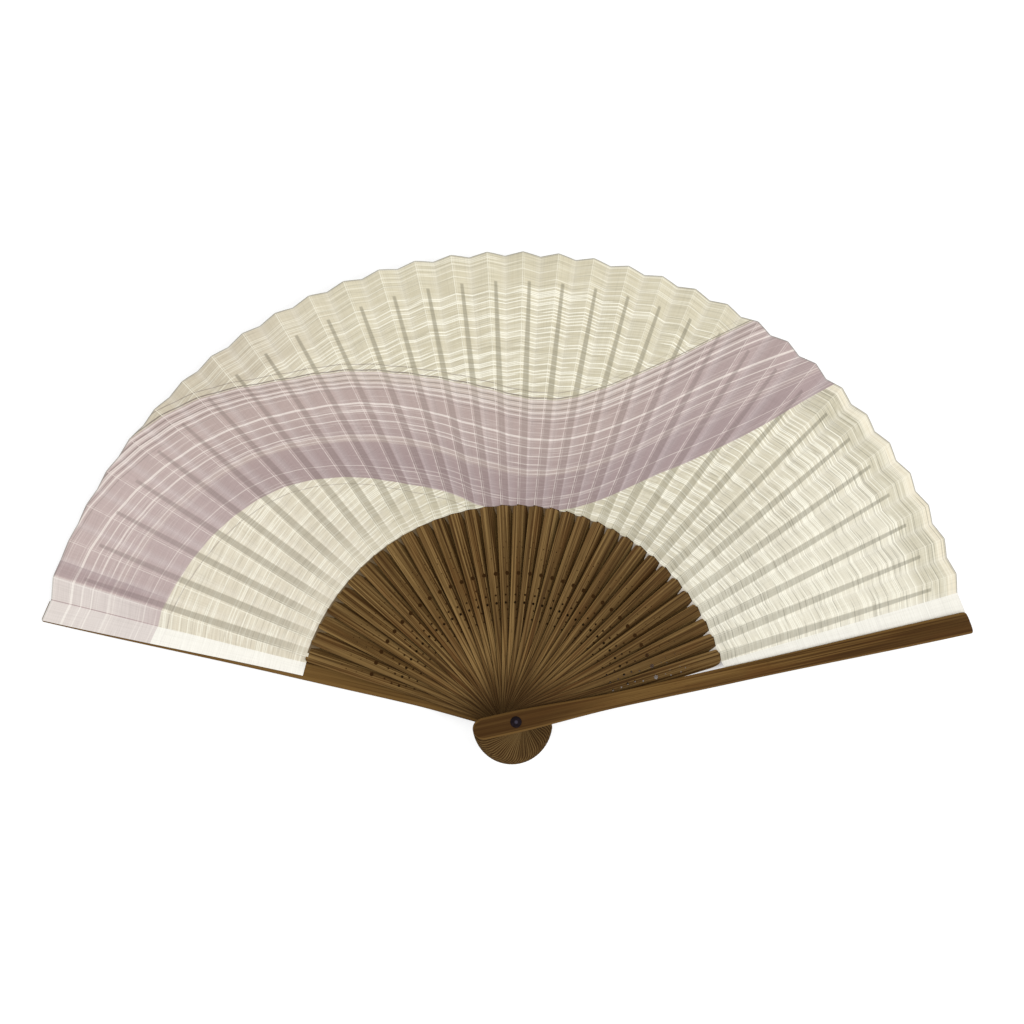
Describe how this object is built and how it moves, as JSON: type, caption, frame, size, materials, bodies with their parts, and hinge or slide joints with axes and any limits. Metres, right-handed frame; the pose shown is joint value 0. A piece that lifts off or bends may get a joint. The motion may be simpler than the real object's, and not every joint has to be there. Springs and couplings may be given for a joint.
{
  "type": "folding fan",
  "caption": "Hand-held pleated folding fan: drilled bamboo ribs and guards that turn on a pin, with a cloth leaf that opens and closes.",
  "frame": {"origin": "middle of the flat on the pin's back head, on the axis that every rib turns about", "axes": "+Z along the pin from the back guard to the front guard, +Y up the middle of the open fan, +X towards the front guard's side"},
  "size_m": [0.3782, 0.2095, 0.0235],
  "materials": {
    "rib": "smoked bamboo, satin, drilled",
    "guard": "smoked bamboo, polished satin",
    "leaf": "thin slub cloth, cream with a mauve flowing band",
    "pin": "black, satin gloss"
  },
  "bodies": {
    "rib_17": {"rib_17": "rib", "pivot_pin": "pin", "leaf": "leaf"},
    "rib_16": {"rib_16": "rib"},
    "rib_15": {"rib_15": "rib"},
    "rib_14": {"rib_14": "rib"},
    "rib_13": {"rib_13": "rib"},
    "rib_12": {"rib_12": "rib"},
    "rib_11": {"rib_11": "rib"},
    "rib_10": {"rib_10": "rib"},
    "rib_09": {"rib_09": "rib"},
    "rib_08": {"rib_08": "rib"},
    "rib_07": {"rib_07": "rib"},
    "rib_06": {"rib_06": "rib"},
    "rib_05": {"rib_05": "rib"},
    "rib_04": {"rib_04": "rib"},
    "rib_03": {"rib_03": "rib"},
    "rib_02": {"rib_02": "rib"},
    "rib_01": {"rib_01": "rib"},
    "back_guard": {"back_guard": "guard"},
    "rib_18": {"rib_18": "rib"},
    "rib_19": {"rib_19": "rib"},
    "rib_20": {"rib_20": "rib"},
    "rib_21": {"rib_21": "rib"},
    "rib_22": {"rib_22": "rib"},
    "rib_23": {"rib_23": "rib"},
    "rib_24": {"rib_24": "rib"},
    "rib_25": {"rib_25": "rib"},
    "rib_26": {"rib_26": "rib"},
    "rib_27": {"rib_27": "rib"},
    "rib_28": {"rib_28": "rib"},
    "rib_29": {"rib_29": "rib"},
    "rib_30": {"rib_30": "rib"},
    "rib_31": {"rib_31": "rib"},
    "rib_32": {"rib_32": "rib"},
    "rib_33": {"rib_33": "rib"},
    "front_guard": {"front_guard": "guard"}
  },
  "joints": [
    {"name": "rib_18_fold", "type": "hinge", "parent": "rib_17", "child": "rib_18", "pos_m": [0, 0, 0], "axis": [0, 0, 1], "range_deg": [0, 4.41], "deforming": ["leaf"]},
    {"name": "rib_16_fold", "type": "hinge", "parent": "rib_17", "child": "rib_16", "pos_m": [0, 0, 0], "axis": [0, 0, -1], "range_deg": [0, 4.44]},
    {"name": "rib_15_fold", "type": "hinge", "parent": "rib_16", "child": "rib_15", "pos_m": [0, 0, 0], "axis": [0, 0, -1], "range_deg": [0, 4.47]},
    {"name": "rib_14_fold", "type": "hinge", "parent": "rib_15", "child": "rib_14", "pos_m": [0, 0, 0], "axis": [0, 0, -1], "range_deg": [0, 4.5]},
    {"name": "rib_13_fold", "type": "hinge", "parent": "rib_14", "child": "rib_13", "pos_m": [0, 0, 0], "axis": [0, 0, -1], "range_deg": [0, 4.53]},
    {"name": "rib_12_fold", "type": "hinge", "parent": "rib_13", "child": "rib_12", "pos_m": [0, 0, 0], "axis": [0, 0, -1], "range_deg": [0, 4.56]},
    {"name": "rib_11_fold", "type": "hinge", "parent": "rib_12", "child": "rib_11", "pos_m": [0, 0, 0], "axis": [0, 0, -1], "range_deg": [0, 4.59]},
    {"name": "rib_10_fold", "type": "hinge", "parent": "rib_11", "child": "rib_10", "pos_m": [0, 0, 0], "axis": [0, 0, -1], "range_deg": [0, 4.61]},
    {"name": "rib_09_fold", "type": "hinge", "parent": "rib_10", "child": "rib_09", "pos_m": [0, 0, 0], "axis": [0, 0, -1], "range_deg": [0, 4.64]},
    {"name": "rib_08_fold", "type": "hinge", "parent": "rib_09", "child": "rib_08", "pos_m": [0, 0, 0], "axis": [0, 0, -1], "range_deg": [0, 4.66]},
    {"name": "rib_07_fold", "type": "hinge", "parent": "rib_08", "child": "rib_07", "pos_m": [0, 0, 0], "axis": [0, 0, -1], "range_deg": [0, 4.67]},
    {"name": "rib_06_fold", "type": "hinge", "parent": "rib_07", "child": "rib_06", "pos_m": [0, 0, 0], "axis": [0, 0, -1], "range_deg": [0, 4.68]},
    {"name": "rib_05_fold", "type": "hinge", "parent": "rib_06", "child": "rib_05", "pos_m": [0, 0, 0], "axis": [0, 0, -1], "range_deg": [0, 4.69]},
    {"name": "rib_04_fold", "type": "hinge", "parent": "rib_05", "child": "rib_04", "pos_m": [0, 0, 0], "axis": [0, 0, -1], "range_deg": [0, 4.7]},
    {"name": "rib_03_fold", "type": "hinge", "parent": "rib_04", "child": "rib_03", "pos_m": [0, 0, 0], "axis": [0, 0, -1], "range_deg": [0, 4.7]},
    {"name": "rib_02_fold", "type": "hinge", "parent": "rib_03", "child": "rib_02", "pos_m": [0, 0, 0], "axis": [0, 0, -1], "range_deg": [0, 4.71]},
    {"name": "rib_01_fold", "type": "hinge", "parent": "rib_02", "child": "rib_01", "pos_m": [0, 0, 0], "axis": [0, 0, -1], "range_deg": [0, 4.71]},
    {"name": "back_guard_fold", "type": "hinge", "parent": "rib_01", "child": "back_guard", "pos_m": [0, 0, 0], "axis": [0, 0, -1], "range_deg": [0, 4.95]},
    {"name": "rib_19_fold", "type": "hinge", "parent": "rib_18", "child": "rib_19", "pos_m": [0, 0, 0], "axis": [0, 0, 1], "range_deg": [0, 4.39]},
    {"name": "rib_20_fold", "type": "hinge", "parent": "rib_19", "child": "rib_20", "pos_m": [0, 0, 0], "axis": [0, 0, 1], "range_deg": [0, 4.37]},
    {"name": "rib_21_fold", "type": "hinge", "parent": "rib_20", "child": "rib_21", "pos_m": [0, 0, 0], "axis": [0, 0, 1], "range_deg": [0, 4.36]},
    {"name": "rib_22_fold", "type": "hinge", "parent": "rib_21", "child": "rib_22", "pos_m": [0, 0, 0], "axis": [0, 0, 1], "range_deg": [0, 4.35]},
    {"name": "rib_23_fold", "type": "hinge", "parent": "rib_22", "child": "rib_23", "pos_m": [0, 0, 0], "axis": [0, 0, 1], "range_deg": [0, 4.36]},
    {"name": "rib_24_fold", "type": "hinge", "parent": "rib_23", "child": "rib_24", "pos_m": [0, 0, 0], "axis": [0, 0, 1], "range_deg": [0, 4.36]},
    {"name": "rib_25_fold", "type": "hinge", "parent": "rib_24", "child": "rib_25", "pos_m": [0, 0, 0], "axis": [0, 0, 1], "range_deg": [0, 4.38]},
    {"name": "rib_26_fold", "type": "hinge", "parent": "rib_25", "child": "rib_26", "pos_m": [0, 0, 0], "axis": [0, 0, 1], "range_deg": [0, 4.4]},
    {"name": "rib_27_fold", "type": "hinge", "parent": "rib_26", "child": "rib_27", "pos_m": [0, 0, 0], "axis": [0, 0, 1], "range_deg": [0, 4.42]},
    {"name": "rib_28_fold", "type": "hinge", "parent": "rib_27", "child": "rib_28", "pos_m": [0, 0, 0], "axis": [0, 0, 1], "range_deg": [0, 4.44]},
    {"name": "rib_29_fold", "type": "hinge", "parent": "rib_28", "child": "rib_29", "pos_m": [0, 0, 0], "axis": [0, 0, 1], "range_deg": [0, 4.46]},
    {"name": "rib_30_fold", "type": "hinge", "parent": "rib_29", "child": "rib_30", "pos_m": [0, 0, 0], "axis": [0, 0, 1], "range_deg": [0, 4.48]},
    {"name": "rib_31_fold", "type": "hinge", "parent": "rib_30", "child": "rib_31", "pos_m": [0, 0, 0], "axis": [0, 0, 1], "range_deg": [0, 4.5]},
    {"name": "rib_32_fold", "type": "hinge", "parent": "rib_31", "child": "rib_32", "pos_m": [0, 0, 0], "axis": [0, 0, 1], "range_deg": [0, 4.51]},
    {"name": "rib_33_fold", "type": "hinge", "parent": "rib_32", "child": "rib_33", "pos_m": [0, 0, 0], "axis": [0, 0, 1], "range_deg": [0, 4.51]},
    {"name": "front_guard_fold", "type": "hinge", "parent": "rib_33", "child": "front_guard", "pos_m": [0, 0, 0], "axis": [0, 0, 1], "range_deg": [0, 5.2]}
  ],
  "couplings": [
    {"joint": "rib_16_fold", "follows": "rib_18_fold", "ratio": 1.0061},
    {"joint": "rib_15_fold", "follows": "rib_18_fold", "ratio": 1.0128},
    {"joint": "rib_14_fold", "follows": "rib_18_fold", "ratio": 1.0199},
    {"joint": "rib_13_fold", "follows": "rib_18_fold", "ratio": 1.0271},
    {"joint": "rib_12_fold", "follows": "rib_18_fold", "ratio": 1.034},
    {"joint": "rib_11_fold", "follows": "rib_18_fold", "ratio": 1.0406},
    {"joint": "rib_10_fold", "follows": "rib_18_fold", "ratio": 1.0464},
    {"joint": "rib_09_fold", "follows": "rib_18_fold", "ratio": 1.0516},
    {"joint": "rib_08_fold", "follows": "rib_18_fold", "ratio": 1.0559},
    {"joint": "rib_07_fold", "follows": "rib_18_fold", "ratio": 1.0594},
    {"joint": "rib_06_fold", "follows": "rib_18_fold", "ratio": 1.0621},
    {"joint": "rib_05_fold", "follows": "rib_18_fold", "ratio": 1.0642},
    {"joint": "rib_04_fold", "follows": "rib_18_fold", "ratio": 1.0656},
    {"joint": "rib_03_fold", "follows": "rib_18_fold", "ratio": 1.0666},
    {"joint": "rib_02_fold", "follows": "rib_18_fold", "ratio": 1.0672},
    {"joint": "rib_01_fold", "follows": "rib_18_fold", "ratio": 1.0674},
    {"joint": "back_guard_fold", "follows": "rib_18_fold", "ratio": 1.1228},
    {"joint": "rib_19_fold", "follows": "rib_18_fold", "ratio": 0.99491},
    {"joint": "rib_20_fold", "follows": "rib_18_fold", "ratio": 0.99101},
    {"joint": "rib_21_fold", "follows": "rib_18_fold", "ratio": 0.98848},
    {"joint": "rib_22_fold", "follows": "rib_18_fold", "ratio": 0.98744},
    {"joint": "rib_23_fold", "follows": "rib_18_fold", "ratio": 0.98787},
    {"joint": "rib_24_fold", "follows": "rib_18_fold", "ratio": 0.98971},
    {"joint": "rib_25_fold", "follows": "rib_18_fold", "ratio": 0.99278},
    {"joint": "rib_26_fold", "follows": "rib_18_fold", "ratio": 0.99683},
    {"joint": "rib_27_fold", "follows": "rib_18_fold", "ratio": 1.0015},
    {"joint": "rib_28_fold", "follows": "rib_18_fold", "ratio": 1.0065},
    {"joint": "rib_29_fold", "follows": "rib_18_fold", "ratio": 1.0115},
    {"joint": "rib_30_fold", "follows": "rib_18_fold", "ratio": 1.0159},
    {"joint": "rib_31_fold", "follows": "rib_18_fold", "ratio": 1.0196},
    {"joint": "rib_32_fold", "follows": "rib_18_fold", "ratio": 1.0222},
    {"joint": "rib_33_fold", "follows": "rib_18_fold", "ratio": 1.0236},
    {"joint": "front_guard_fold", "follows": "rib_18_fold", "ratio": 1.1795}
  ]
}
